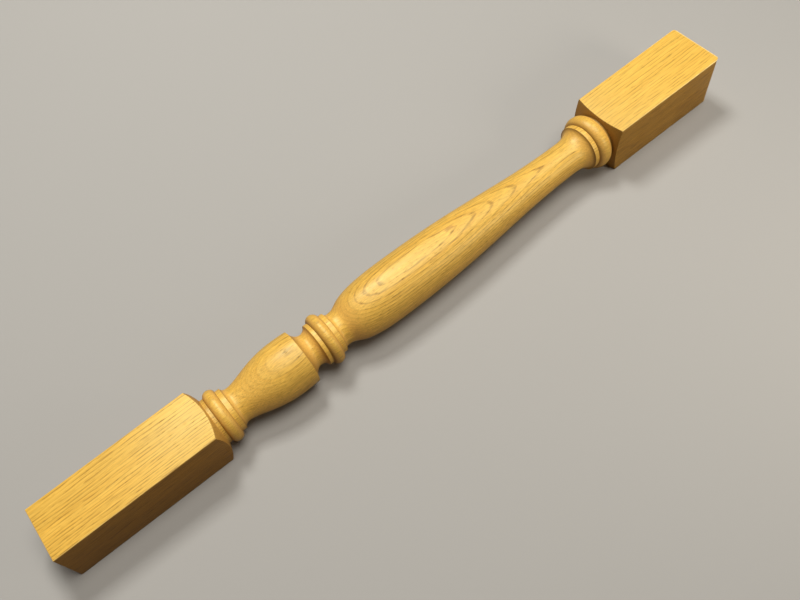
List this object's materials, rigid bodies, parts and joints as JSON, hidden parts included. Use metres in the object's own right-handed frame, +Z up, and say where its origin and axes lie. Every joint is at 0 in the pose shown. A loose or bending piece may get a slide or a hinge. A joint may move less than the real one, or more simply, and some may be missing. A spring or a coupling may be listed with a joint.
{
  "type": "stair spindle",
  "caption": "Turned wooden stair spindle: an urn, round beads and a long tapering vase turned between square end blocks.",
  "frame": {"origin": "under the middle of the spindle, on the surface that it lies on", "axes": "+X along the spindle from the foot's long block to the head's short block, +Z up, with two faces of each block level"},
  "size_m": [0.553, 0.041, 0.041],
  "materials": {
    "oak": "light golden oak under a clear satin varnish"
  },
  "bodies": {
    "root": {"spindle": "oak"}
  },
  "joints": []
}
